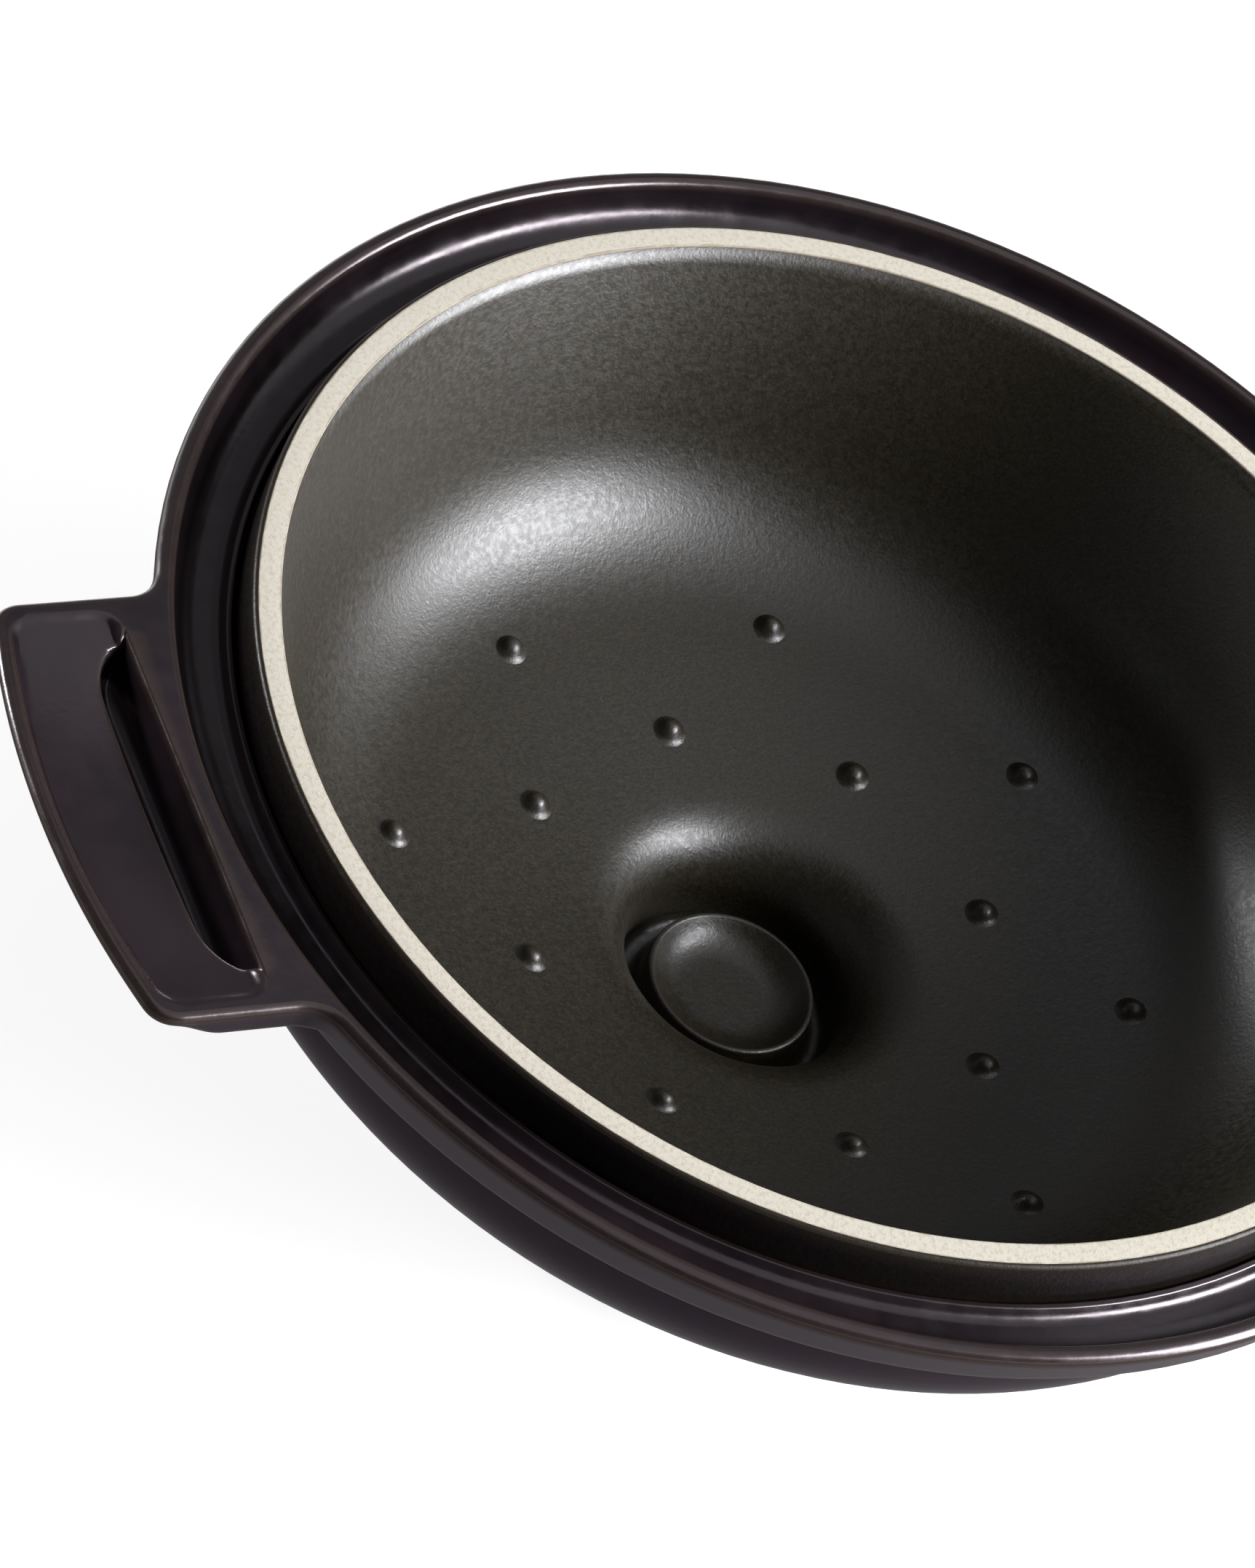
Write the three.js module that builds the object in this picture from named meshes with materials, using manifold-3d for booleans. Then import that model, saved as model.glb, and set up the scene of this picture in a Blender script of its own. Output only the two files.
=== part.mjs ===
// A ceramic casserole dish in millimetres, +Z up, the origin under the middle of the pot's foot.
// The pot is one fired piece with its two lugs. The lid is another, and lies upside down in the rim.
import * as THREE from "three";
import { mergeVertices } from "three/addons/utils/BufferGeometryUtils.js";
import Module from "manifold-3d";

const { degToRad } = THREE.MathUtils;

// Lid, measured from its unglazed edge, which faces up while the lid lies upside down.
const edgeRadius = 130;
const edgeWidth = 4.8;
const edgeRound = 1;
const skirtHeight = 13.85;
const skirtFlare = 1;
const lidWall = 4.8;
const lidDraft = degToRad(20);
const lidSlope = degToRad(8.6);
const lidDepth = 77.6; // from the edge to where the cone of the lid's top would come to a point
const bowlRound = 38;
const flangeRound = 1.5;

// Knob of the lid, a hollow one whose middle is pressed in as a dished button.
const hollowRadius = 24.5;
const hollowDraft = 1;
const hollowDepth = 17.9;
const hollowLipRound = 13;
const moatRound = 3;
const buttonRadius = 17.3;
const buttonHeight = 9.8;
const buttonRim = 1.2;
const buttonRound = 1;
const cupDepth = 4.2; // of the dish in the button's top
const cupRadius = 13.6;
const cupRound = 9;
const knobFlare = 2.7;
const knobRound = 5;
const neckRound = 7;

// Nubs under the lid, in two staggered rings.
const nubsPerRing = 8;
const innerNubRing = 52.8;
const outerNubRing = 80.1;
const nubRadius = 3.6;
const nubHeight = 3;

// Pot, worked out from the lid it takes.
const seatGap = 0.3;
const seatPlay = 0.8;
const mouthPlay = 1.3;
const mouthRound = 0.8;
const rimBelowEdge = 4.15; // how far the lid's edge stands above the rim
const beadBelowRim = 6.3; // of the bead between the seat and the rim's gutter
const beadWidth = 1.3;
const beadRound = 0.6;
const beadSlope = 1.6; // reach of the bead's flank down to the gutter
const gutterBelowRim = 8.4;
const gutterLean = 1; // of the gutter's outer wall
const gutterRound = 3;
const coveRound = 4.5;
const rimWall = 7.5;
const rimBeyondEdge = 19.6;
const rimWidth = 4;
const rimChamfer = 1.05; // of the rim's inner edge
const rimRound = 2;
const collarHeight = 11.5;
const collarDraft = 3.4;
const collarRound = 1.5;
const collarFillet = 4;
const flankWall = 5.6;
const flankGap = 3.4; // between the lid and the pot where they come closest
const mouthDepth = 35.7; // from the rim to where the upright wall turns in
const turnRound = 19.5;
const floorThickness = 7;
const floorRound = 24;
const knobGap = 3.8;
const footRound = 14;
const footRingWidth = 12;
const footRecess = 1.5;

// Lugs at both ends of X, flush with the rim, each a shallow tray with a finger groove along the pot.
const lugReach = 33.4; // beyond the rim
const lugRoot = 9.4; // how far the plate reaches into the rim
const lugHalfWidth = 50.4;
const lugThickness = 9.4;
const lugLip = 3.6; // thickness at the lug's end
const lugLipSlope = 5; // over which the underside falls from the lip to the full thickness
const lugEdgeRound = 2.2;
const lugCornerRound = 7;
const lugFillet = 8;
const trayBorder = 2.8;
const traySideBorder = 3.4;
const trayRound = 5;
const trayDepth = 5.7; // in the middle, beside the groove
const trayEndDepth = 0.8;
const trayFall = degToRad(7); // towards the groove
const grooveFromRim = 1.4;
const grooveWidth = 8;
const grooveHalfLength = 39;
const grooveBend = 12; // length of the curve at each end of the groove
const grooveDepth = 11.5;
const grooveFloor = 5;
const swellHeight = 7; // half height of the swelling that holds the groove
const swellReach = 20;
const swellHalfLength = 46;

const SEGMENTS = 48;
const ARC_STEP = degToRad(30);

const wasm = await Module();
wasm.setup();

// Heights of the lid's features above the ground.
const knobEnd = floorThickness + knobGap;
const moatFloor = knobEnd + lidWall;
const coneTip = moatFloor + hollowDepth;
const edgeHeight = coneTip + lidDepth;
const buttonTop = moatFloor + buttonHeight;
const cupFloor = buttonTop - cupDepth;
const dishTop = cupFloor - lidWall;
const flangeHeight = edgeHeight - skirtHeight;

// Lines that the lid's profile follows, inside and outside.
const edgeInner = edgeRadius - edgeWidth;
const outerTip = coneTip - lidWall / Math.cos(lidSlope);
const outerShift = lidWall / Math.cos(lidDraft);
const coneHeight = (tip, radius) => tip + radius * Math.tan(lidSlope);
const wallRadius = (shift, height) => edgeInner + shift - (edgeHeight - height) * Math.tan(lidDraft);

// Where the lid's wall line, moved outwards by shift, meets the cone line that ends at tip.
function bowlCorner(shift, tip) {
  const slope = Math.tan(lidSlope) * Math.tan(lidDraft);
  const radius = wallRadius(shift, tip) / (1 - slope);
  return [radius, coneHeight(tip, radius)];
}

// Points of a profile given as corners [radius, height, rounding], a rounded corner as an arc.
function rounded(corners) {
  const spots = corners.map(([x, y]) => new THREE.Vector2(x, y));
  return corners.flatMap(([, , rounding = 0], i) => {
    const here = spots[i];
    if (!rounding) return [here];
    const back = spots.at(i - 1).clone().sub(here);
    const ahead = spots[(i + 1) % spots.length].clone().sub(here);
    const room = Math.min(back.length(), ahead.length()) / 2;
    back.normalize();
    ahead.normalize();
    const half = Math.acos(THREE.MathUtils.clamp(back.dot(ahead), -1, 1)) / 2;
    const reach = Math.min(rounding / Math.tan(half), room);
    const middle = back.clone().add(ahead).setLength(reach / Math.cos(half)).add(here);
    const start = back.multiplyScalar(reach).add(here);
    const turn = (Math.PI - 2 * half) * Math.sign(ahead.cross(start.clone().sub(here)));
    const steps = Math.max(2, Math.ceil(Math.abs(turn) / ARC_STEP));
    return Array.from({ length: steps + 1 }, (_, k) =>
      start.clone().rotateAround(middle, (turn * k) / steps),
    );
  });
}

function solid(geometry) {
  geometry.deleteAttribute("normal");
  geometry.deleteAttribute("uv");
  const merged = mergeVertices(geometry, 1e-4);
  return new wasm.Manifold(
    new wasm.Mesh({
      numProp: 3,
      vertProperties: new Float32Array(merged.attributes.position.array),
      triVerts: new Uint32Array(merged.index.array),
    }),
  );
}

// A profile turned about Z. It runs from the axis outwards, then back to the axis.
function turned(corners) {
  return solid(new THREE.LatheGeometry(rounded(corners), SEGMENTS).rotateX(Math.PI / 2));
}

function named(name, shape, color) {
  const { vertProperties, triVerts } = shape.getMesh();
  const geometry = new THREE.BufferGeometry();
  geometry.setAttribute("position", new THREE.BufferAttribute(vertProperties, 3));
  geometry.setIndex(new THREE.BufferAttribute(triVerts, 1));
  geometry.computeVertexNormals();
  const material = new THREE.MeshStandardMaterial({ color, roughness: 0.35, flatShading: true });
  const mesh = new THREE.Mesh(geometry, material);
  mesh.name = name;
  return mesh;
}

// Lid

function nub(radius, index, stagger) {
  const angle = ((index + stagger) * 2 * Math.PI) / nubsPerRing;
  const dome = new THREE.SphereGeometry(nubRadius, 8, 6);
  dome.rotateX(Math.PI / 2);
  dome.scale(1, 1, nubHeight / nubRadius);
  dome.translate(radius * Math.cos(angle), radius * Math.sin(angle), coneHeight(coneTip, radius));
  return solid(dome);
}

function makeLid() {
  const flangeInner = wallRadius(outerShift, flangeHeight);
  const neckRadius = hollowRadius + lidWall;
  const dishRadius = buttonRadius - lidWall;
  const skirtRadius = edgeRadius + edgeRound;
  let lid = turned([
    [0, dishTop],
    [dishRadius, dishTop, moatRound],
    [dishRadius + hollowDraft, knobEnd, moatRound],
    [neckRadius + knobFlare, knobEnd, knobRound],
    [neckRadius, coneHeight(outerTip, neckRadius), neckRound],
    [...bowlCorner(outerShift, outerTip), bowlRound + lidWall],
    [flangeInner, flangeHeight, flangeRound],
    [edgeRadius + skirtFlare, flangeHeight, flangeRound],
    [skirtRadius, edgeHeight, edgeRound],
    [edgeInner, edgeHeight],
    [...bowlCorner(0, coneTip), bowlRound],
    [hollowRadius, coneHeight(coneTip, hollowRadius), hollowLipRound],
    [hollowRadius - hollowDraft, moatFloor, moatRound],
    [buttonRadius + hollowDraft, moatFloor, moatRound],
    [buttonRadius, buttonTop, buttonRound],
    [buttonRadius - buttonRim, buttonTop, buttonRound],
    [cupRadius, cupFloor, cupRound],
    [0, cupFloor],
  ]);
  for (let i = 0; i < nubsPerRing; i++) {
    lid = lid.add(nub(innerNubRing, i, 0));
    lid = lid.add(nub(outerNubRing, i, 1 / 2));
  }
  return lid;
}

// Pot

const rimRadius = edgeRadius + rimBeyondEdge;
const rimHeight = edgeHeight - rimBelowEdge;
const seatHeight = flangeHeight - seatGap;
const mouthRadius = wallRadius(outerShift, flangeHeight) + mouthPlay;
const potRadius = mouthRadius + rimWall;
const collarBottom = rimHeight - collarHeight;
const lugRadius = rimRadius + lugReach;
const grooveNear = rimRadius + grooveFromRim;

// Slope from the vertical of the flank, which runs from the wall's turn past the lid's bowl.
function flankSlope(turnRadius, turnHeight) {
  const [cornerRadius, cornerHeight] = bowlCorner(0, coneTip);
  const half = (Math.PI / 2 + lidDraft + lidSlope) / 2;
  const lean = half - lidSlope;
  const reach = bowlRound / Math.sin(half);
  const bowlX = cornerRadius - reach * Math.cos(lean);
  const bowlY = cornerHeight + reach * Math.sin(lean);
  const away = new THREE.Vector2(turnRadius - bowlX, turnHeight - bowlY);
  return Math.acos((bowlRound + lidWall + flankGap) / away.length()) - Math.atan2(away.y, away.x);
}

function makePot() {
  const turnHeight = rimHeight - mouthDepth;
  const slope = flankSlope(mouthRadius, turnHeight);
  const innerFlank = (height) => mouthRadius - (turnHeight - height) * Math.tan(slope);
  const outerFlank = (height) => innerFlank(height) + flankWall / Math.cos(slope);
  const outerTurn = (potRadius - outerFlank(0)) / Math.tan(slope);
  const footRadius = outerFlank(0);
  const footInner = footRadius - footRound - footRingWidth;
  const body = turned([
    [0, footRecess],
    [footInner, footRecess, footRecess],
    [footInner, 0],
    [footRadius, 0, footRound],
    [potRadius, outerTurn, turnRound],
    [potRadius, collarBottom, collarFillet],
    [rimRadius - collarDraft, collarBottom, collarRound],
    [rimRadius, rimHeight, rimRound],
    [0, rimHeight],
  ]);
  const seatRadius = edgeRadius + skirtFlare + seatPlay;
  const beadHeight = rimHeight - beadBelowRim;
  const gutterHeight = rimHeight - gutterBelowRim;
  const rimInner = rimRadius - rimWidth;
  const aboveRim = rimHeight + rimRound;
  const inside = turned([
    [0, floorThickness],
    [innerFlank(floorThickness), floorThickness, floorRound],
    [mouthRadius, turnHeight, turnRound - flankWall],
    [mouthRadius, seatHeight, mouthRound],
    [seatRadius, seatHeight, seatPlay],
    [seatRadius, beadHeight, beadRound],
    [seatRadius + beadWidth, beadHeight, beadRound],
    [seatRadius + beadWidth + beadSlope, gutterHeight, gutterRound],
    [rimInner - gutterLean, gutterHeight, coveRound],
    [rimInner, rimHeight - rimChamfer],
    [rimInner + rimChamfer, rimHeight],
    [rimInner + rimChamfer, aboveRim],
    [0, aboveRim],
  ]);
  const lug = makeLug();
  return body.add(lug).add(lug.rotate([0, 0, 180])).subtract(inside);
}

// A lug at the -X end, before the inside of the pot is cut from it.
function makeLug() {
  const outline = new THREE.Path();
  const filletY = lugHalfWidth + lugFillet;
  const filletX = Math.sqrt((rimRadius + lugFillet) ** 2 - filletY ** 2);
  const filletAngle = Math.atan2(filletY, filletX);
  const rootRadius = rimRadius - lugRoot;
  outline.moveTo(rootRadius * Math.cos(filletAngle), -rootRadius * Math.sin(filletAngle));
  outline.lineTo(rimRadius * Math.cos(filletAngle), -rimRadius * Math.sin(filletAngle));
  outline.absarc(filletX, -filletY, lugFillet, Math.PI - filletAngle, Math.PI / 2, true);
  addEnd(outline, lugRadius, lugHalfWidth, lugCornerRound);
  outline.absarc(filletX, filletY, lugFillet, -Math.PI / 2, Math.PI + filletAngle, true);
  outline.lineTo(rootRadius * Math.cos(filletAngle), rootRadius * Math.sin(filletAngle));
  const plate = raised(outline, rimHeight - lugThickness, rimHeight, lugEdgeRound);
  return plate
    .intersect(lugSection(rootRadius - lugRoot))
    .add(swelling())
    .subtract(tray())
    .subtract(groove())
    .rotate([0, 0, 180]);
}

// The round end of an outline: a corner, an arc about the pot's axis and the other corner.
function addEnd(outline, radius, halfWidth, cornerRound) {
  const cornerY = halfWidth - cornerRound;
  const cornerX = Math.sqrt((radius - cornerRound) ** 2 - cornerY ** 2);
  const cornerAngle = Math.atan2(cornerY, cornerX);
  outline.absarc(cornerX, -cornerY, cornerRound, -Math.PI / 2, -cornerAngle, false);
  outline.absarc(0, 0, radius, -cornerAngle, cornerAngle, false);
  outline.absarc(cornerX, cornerY, cornerRound, cornerAngle, Math.PI / 2, false);
}

// An outline raised from one height to another, with its edges rounded.
function raised(outline, bottom, top, edgeRounding) {
  const points = outline.getPoints(3).filter(
    (point, i, all) => point.distanceTo(all.at(i - 1)) > 1e-3,
  );
  const shape = new THREE.ExtrudeGeometry(new THREE.Shape(points), {
    depth: top - bottom - 2 * edgeRounding,
    bevelEnabled: edgeRounding > 0,
    bevelSize: edgeRounding,
    bevelThickness: edgeRounding,
    bevelOffset: -edgeRounding,
    bevelSegments: 2,
  });
  return solid(shape.translate(0, 0, bottom + edgeRounding));
}

// A ring whose underside rises from the full thickness to the lip at the lug's end.
function lugSection(innerRadius) {
  const full = rimHeight - lugThickness;
  const lip = rimHeight - lugLip;
  const above = rimHeight + lugThickness;
  const beyond = lugRadius + lugLipSlope;
  const ring = turned([
    [0, full],
    [lugRadius - lugLipSlope, full],
    [lugRadius, lip],
    [beyond, lip],
    [beyond, above],
    [0, above],
  ]);
  const core = turned([
    [0, full - lugThickness],
    [innerRadius, full - lugThickness],
    [innerRadius, above + lugThickness],
    [0, above + lugThickness],
  ]);
  return ring.subtract(core);
}

// The swelling under a lug that holds its groove.
function swelling() {
  const dome = new THREE.SphereGeometry(1, 20, 12);
  dome.rotateX(Math.PI / 2);
  dome.scale(swellReach, swellHalfLength, swellHeight);
  const bottom = rimHeight - grooveDepth - grooveFloor;
  return solid(dome.translate(grooveNear + grooveWidth / 2, 0, bottom + swellHeight));
}

// The tray cut in a lug's top, its floor bowed along the lug and falling towards the groove.
function tray() {
  const outline = new THREE.Path();
  const half = lugHalfWidth - traySideBorder;
  const nearX = grooveNear + trayRound;
  const nearY = half - trayRound;
  outline.absarc(nearX, -nearY, trayRound, Math.PI, (3 * Math.PI) / 2, false);
  addEnd(outline, lugRadius - trayBorder, half, trayRound);
  outline.absarc(nearX, nearY, trayRound, Math.PI / 2, Math.PI, false);
  const bow = trayDepth - trayEndDepth;
  const bowRadius = (half ** 2 + bow ** 2) / (2 * bow);
  const bowAngle = Math.asin(half / bowRadius);
  const section = new THREE.Shape();
  const downwards = -Math.PI / 2;
  section.absarc(0, bowRadius - trayDepth, bowRadius, downwards - bowAngle, downwards + bowAngle, false);
  section.lineTo(half, trayDepth);
  section.lineTo(-half, trayDepth);
  const trough = new THREE.ExtrudeGeometry(section, { depth: lugRadius, bevelEnabled: false });
  trough.rotateX(Math.PI / 2).rotateZ(Math.PI / 2);
  trough.translate(-lugRadius / 2, 0, 0).rotateY(-trayFall);
  trough.translate(grooveNear + grooveWidth, 0, rimHeight);
  return raised(outline, rimHeight - 2 * trayDepth, rimHeight + trayDepth, 0).intersect(solid(trough));
}

// The groove along the pot, straight there and curved at both ends of its far side.
function groove() {
  const outline = new THREE.Path();
  const straight = grooveHalfLength - grooveBend;
  outline.absellipse(grooveNear, -straight, grooveWidth, grooveBend, -Math.PI / 2, 0, false);
  outline.absellipse(grooveNear, straight, grooveWidth, grooveBend, 0, Math.PI / 2, false);
  return raised(outline, rimHeight - grooveDepth, rimHeight + grooveDepth, 0);
}

const casserole = new THREE.Group();
casserole.add(named("pot", makePot(), 0x2e2a2b));
casserole.add(named("lid", makeLid(), 0x3a3532));

export default casserole;
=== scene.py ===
"""A glazed ceramic casserole pot with its lid lying upside down in the rim.

Sizes and colours stand in the sidebar, each piece has its operator, and main() builds them all
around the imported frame, in metres.
"""

import math

import bmesh
import bpy
import numpy as np
from bpy.props import FloatProperty, FloatVectorProperty, IntProperty, PointerProperty
from mathutils import Matrix, Vector


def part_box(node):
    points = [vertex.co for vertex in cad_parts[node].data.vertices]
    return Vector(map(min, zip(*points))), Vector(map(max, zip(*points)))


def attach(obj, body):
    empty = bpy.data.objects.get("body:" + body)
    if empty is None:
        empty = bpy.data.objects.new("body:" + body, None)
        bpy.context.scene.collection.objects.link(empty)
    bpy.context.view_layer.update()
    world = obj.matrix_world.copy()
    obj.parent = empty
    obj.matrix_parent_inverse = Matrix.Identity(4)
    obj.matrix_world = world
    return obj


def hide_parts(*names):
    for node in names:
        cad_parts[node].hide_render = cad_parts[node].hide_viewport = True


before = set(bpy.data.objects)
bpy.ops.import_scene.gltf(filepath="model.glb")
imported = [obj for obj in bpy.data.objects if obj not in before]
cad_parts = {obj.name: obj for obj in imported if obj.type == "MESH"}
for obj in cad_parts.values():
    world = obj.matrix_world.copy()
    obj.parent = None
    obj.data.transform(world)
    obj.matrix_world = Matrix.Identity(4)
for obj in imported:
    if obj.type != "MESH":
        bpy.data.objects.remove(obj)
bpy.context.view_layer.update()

bl_info = {
    "name": "Ceramic Casserole",
    "version": (1, 0, 0),
    "blender": (4, 5, 0),
    "location": "View3D > Sidebar > Casserole",
    "description": "Builds a glazed casserole pot, its upturned lid and the studio around them",
    "category": "Add Mesh",
}

# How finely the meshes are divided. Lengths are in metres.
ARC_STEP = math.radians(9)  # turn of one step of a rounding
ROW_STEP = 0.004  # longest run between two rows
RIM_STEP = math.radians(2.5)  # turn between two columns of the rim
LID_COLUMNS = 192
NUB_COLUMNS = 32
NUB_ROWS = 15
NUB_SINK = 0.0002  # how far a nub's foot lies under the lid's surface
ROUND_STEPS = 5  # of the rounded outer edge of rim and lugs
SIDE_STEPS = 3  # of the side between its two roundings
ROOT_STEPS = 5  # of the rounding under a lug
OUTLINE_POINTS = 400  # in each part of a lug's outline
GROOVE_STEPS = (16, 12, 13, 4)  # along the groove: straight, bend, crowded end and roll
COLUMN_STEP, COLUMN_GAP = 0.0009, 0.0005  # between a lug's other columns, and least at the last
WALL_ROWS = np.array([0.00015, 0.0004, 0.0008, 0.0013, 0.0021])  # from the groove's wall
WALL_ROOM = 2.5  # how many times the last of them the groove must be wide
LIP_ROWS = np.array([1, 0.75, 0.5, 0.28, 0.1, 0])  # shares of the rounding beside the rim
ROLL_ROWS = np.array([0, 0.1, 0.22, 0.38, 0.58, 0.8, 1])  # shares of the bowed edge's rounding
TRAY_ROWS, BORDER_ROWS = 8, 10
BORDER_START = 0.8  # share of the way out where the tray's rows crowd
TINY = 1e-6  # points this close are one, and nothing is divided by less
PHOTO_WIDTH, PHOTO_HEIGHT = 1725, 2156
SENSOR_WIDTH = 36


def length(name, default, description):
    """A size of the dish, in metres."""
    return FloatProperty(
        name=name, description=description, default=default, min=0, unit="LENGTH", precision=4
    )


def angle(name, default, description):
    """An angle given in degrees."""
    return FloatProperty(
        name=name, description=description, default=math.radians(default), subtype="ANGLE"
    )


def colour(name, default, description):
    """A linear colour."""
    return FloatVectorProperty(
        name=name, description=description, default=default, size=3, min=0, max=1, subtype="COLOR"
    )


def amount(name, default, description):
    """A plain number."""
    return FloatProperty(name=name, description=description, default=default, precision=3)


class LidSizes(bpy.types.PropertyGroup):
    """Sizes of the lid, measured from its unglazed edge, which faces up."""

    knob_end: length("Knob End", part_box("lid")[0].z, "Height of the knob's end above the ground")
    edge_radius: length("Edge Radius", 0.130, "Outer radius of the unglazed edge")
    edge_width: length("Edge Width", 0.0048, "Width of the unglazed edge")
    edge_round: length("Edge Rounding", 0.001, "Rounding of the glaze beside the edge")
    edge_inset: length("Edge Inset", 0.0005, "How deep the bare clay reaches down")
    skirt_height: length("Skirt Height", 0.01385, "Height of the skirt that stands in the rim")
    skirt_flare: length("Skirt Flare", 0.001, "How far the skirt spreads below the edge")
    flange_round: length("Flange Rounding", 0.0015, "Rounding of the skirt's lower corners")
    wall: length("Wall", 0.0048, "Thickness of the lid")
    draft: angle("Draft", 20, "Lean of the lid's wall from the upright")
    slope: angle("Slope", 8.6, "Fall of the lid's top towards the knob")
    depth: length("Depth", 0.0776, "From the edge to the tip of the cone of the lid's top")
    bowl_round: length("Bowl Rounding", 0.038, "Inner rounding between wall and top")
    hollow_radius: length("Hollow Radius", 0.0245, "Radius of the knob's hollow")
    hollow_draft: length("Hollow Draft", 0.001, "Taper of the hollow's wall")
    hollow_depth: length("Hollow Depth", 0.0179, "Depth of the knob's hollow")
    hollow_round: length("Hollow Rounding", 0.0155, "Rounding of the hollow's mouth")
    moat_round: length("Moat Rounding", 0.003, "Rounding around the button")
    button_radius: length("Button Radius", 0.0180, "Radius of the pressed-in button")
    button_height: length("Button Height", 0.0098, "Height of the button in the hollow")
    button_rim: length("Button Rim", 0.0010, "Width of the button's rim")
    button_round: length("Button Rounding", 0.0007, "Rounding of the button's rim")
    cup_depth: length("Cup Depth", 0.0046, "Depth of the dish in the button")
    cup_radius: length("Cup Radius", 0.0130, "Radius where the dish's side would meet its floor")
    cup_round: length("Cup Rounding", 0.0097, "Rounding between the dish's side and its floor")
    knob_flare: length("Knob Flare", 0.0027, "How far the knob spreads at its end")
    knob_round: length("Knob Rounding", 0.005, "Rounding of the knob's end")
    neck_round: length("Neck Rounding", 0.007, "Rounding where the knob meets the lid")


class NubSizes(bpy.types.PropertyGroup):
    """Sizes of the basting nubs in two staggered rings."""

    per_ring: IntProperty(name="Per Ring", description="Nubs in each ring", default=8, min=1)
    inner_ring: length("Inner Ring", 0.0528, "Radius of the inner ring of nubs")
    outer_ring: length("Outer Ring", 0.0801, "Radius of the outer ring of nubs")
    cap: length("Cap", 0.0024, "Rounding of a nub's top")
    fillet: length("Fillet", 0.0030, "Rounding where a nub runs out in the lid")
    flank: angle("Flank", 60, "Steepest slope of a nub")


class PotSizes(bpy.types.PropertyGroup):
    """Sizes of the pot's bowl and rim."""

    rim_height: length("Rim Height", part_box("pot")[1].z, "Height of the rim above the ground")
    rim_radius: length("Rim Radius", 0.1496, "Outer radius of the rim")
    rim_width: length("Rim Width", 0.004, "Width of the rim's rounded top")
    lip_round: length("Lip Rounding", 0.0021, "Rounding of the rim's outer edge")
    lip_inner_round: length("Inner Lip Rounding", 0.0018, "Rounding of the rim's inner edge")
    bead_below: length("Bead Below Rim", 0.0063, "From the rim down to the bead beside the seat")
    bead_width: length("Bead Width", 0.0013, "Width of the bead's top")
    bead_round: length("Bead Rounding", 0.0006, "Rounding of the bead's edges")
    bead_slope: length("Bead Slope", 0.0016, "Reach of the bead's flank down to the gutter")
    gutter_below: length("Gutter Below Rim", 0.0084, "From the rim down to the gutter's floor")
    gutter_lean: length("Gutter Lean", 0.001, "Lean of the gutter's outer wall")
    gutter_round: length("Gutter Rounding", 0.003, "Rounding between the gutter and the bead")
    cove_round: length("Cove Rounding", 0.007, "Rounding between the gutter and the rim")
    seat_radius: length("Seat Radius", 0.1318, "Radius of the wall around the lid's skirt")
    seat_height: length("Seat Height", 0.09695, "Height of the seat that carries the lid")
    seat_round: length("Seat Rounding", 0.0008, "Rounding of the seat's outer corner")
    mouth_radius: length("Mouth Radius", 0.12657, "Inner radius of the upright wall")
    mouth_round: length("Mouth Rounding", 0.0008, "Rounding of the seat's inner edge")
    wall_radius: length("Wall Radius", 0.13407, "Outer radius of the upright wall")
    collar_height: length("Collar Height", 0.0115, "Height of the rim's collar")
    collar_draft: length("Collar Draft", 0.0034, "How far the collar draws in downwards")
    collar_round: length("Collar Rounding", 0.0015, "Rounding of the collar's lower edge")
    collar_fillet: length("Collar Fillet", 0.004, "Rounding where the collar meets the wall")
    turn_height: length("Turn Height", 0.07125, "Height where the inner wall turns in")
    turn_round: length("Turn Rounding", 0.0195, "Outer rounding where the wall turns in")
    flank_wall: length("Flank Wall", 0.0056, "Thickness of the sloping flank")
    floor: length("Floor", 0.007, "Thickness of the floor")
    floor_radius: length("Floor Radius", 0.0667, "Radius where the flank meets the floor")
    floor_round: length("Floor Rounding", 0.024, "Rounding between flank and floor")
    foot_round: length("Foot Rounding", 0.014, "Rounding between flank and foot")
    foot_ring: length("Foot Ring", 0.012, "Width of the unglazed foot ring")
    foot_recess: length("Foot Recess", 0.0015, "How far the bottom is raised inside the foot")
    bare_inset: length("Bare Inset", 0.0004, "Depth of the unglazed band in the foot")


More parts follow.
